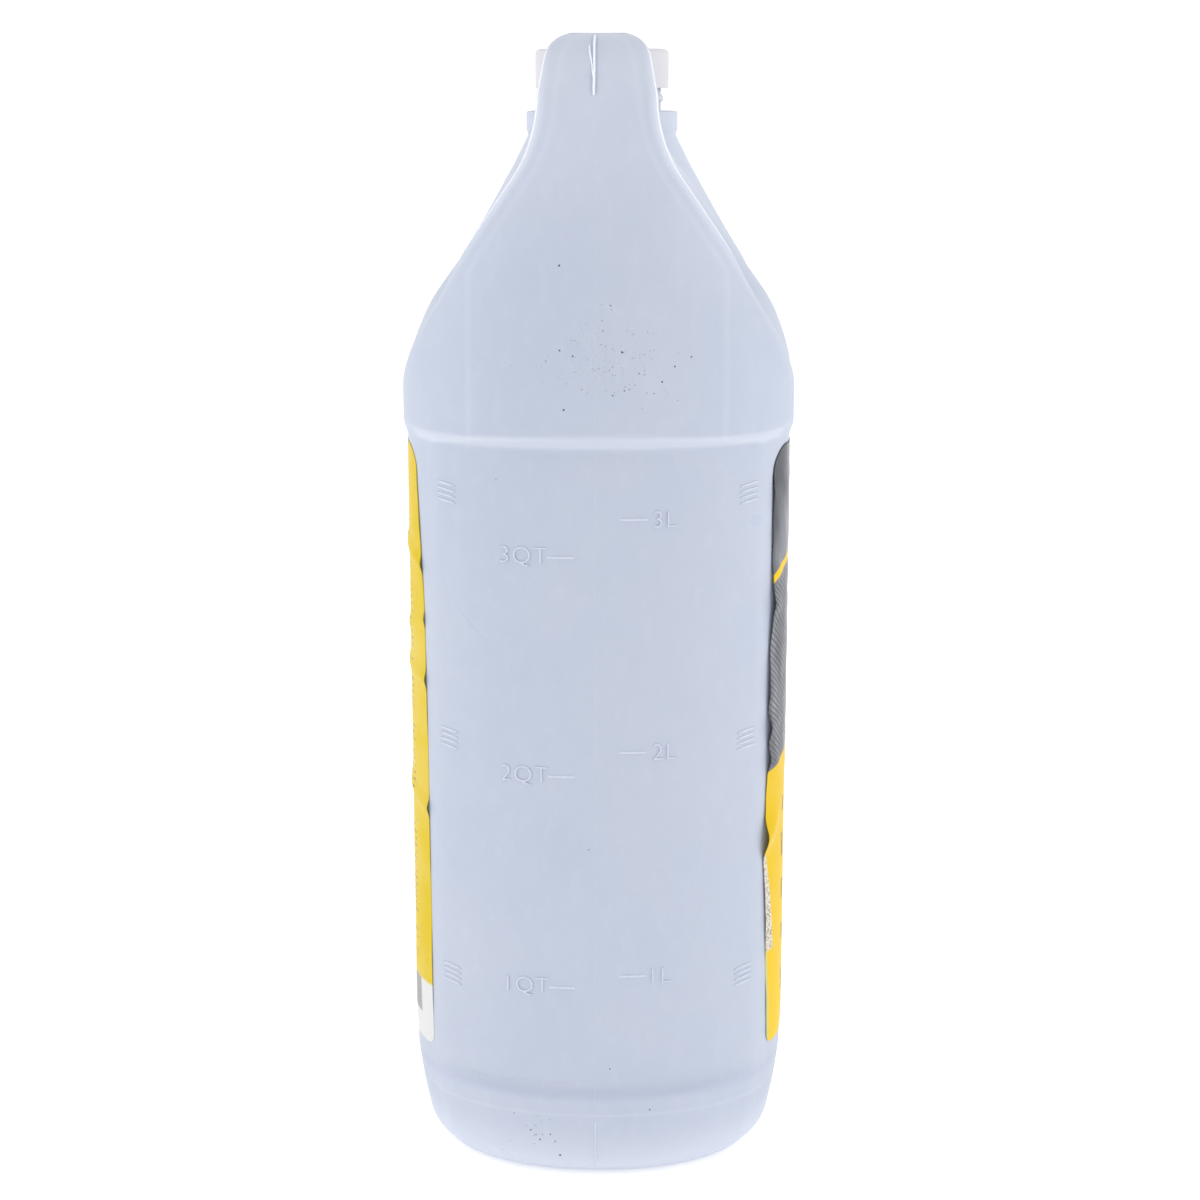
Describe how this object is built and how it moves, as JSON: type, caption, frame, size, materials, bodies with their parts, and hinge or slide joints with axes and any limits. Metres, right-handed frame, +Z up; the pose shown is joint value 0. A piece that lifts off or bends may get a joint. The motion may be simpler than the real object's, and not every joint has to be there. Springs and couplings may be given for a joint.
{
  "type": "motor oil bottle",
  "caption": "Tall blow-moulded oil jug with a hollow side handle, screw cap with liner, recessed label panels and moulded volume marks on its end.",
  "frame": {"origin": "middle of the standing ring, on the surface that the bottle stands on", "axes": "+Z up, +X from the handle side to the spout side, +Y from the front label to the back label"},
  "size_m": [0.1794, 0.1058, 0.3021],
  "materials": {
    "bottle_plastic": "satin, slightly waxy",
    "cap_plastic": "satin",
    "liner_foam": "matt",
    "front_film": "glossy printed film",
    "back_film": "glossy printed film"
  },
  "bodies": {
    "bottle": {"bottle": "bottle_plastic", "front_label": "front_film", "back_label": "back_film"},
    "liner": {"cap_liner": "liner_foam"},
    "cap": {"cap": "cap_plastic"}
  },
  "joints": [
    {"name": "cap_lift", "type": "slide", "parent": "bottle", "child": "liner", "axis": [0, 0, 1], "range_m": [0, 0.0128]},
    {"name": "cap_turn", "type": "hinge", "parent": "liner", "child": "cap", "pos_m": [0.035, 0, 0.2967], "axis": [0, 0, 1], "range_deg": [0, 1080]}
  ],
  "couplings": [
    {"joint": "cap_lift", "follows": "cap_turn", "m_per_rad": 0.0006737}
  ]
}
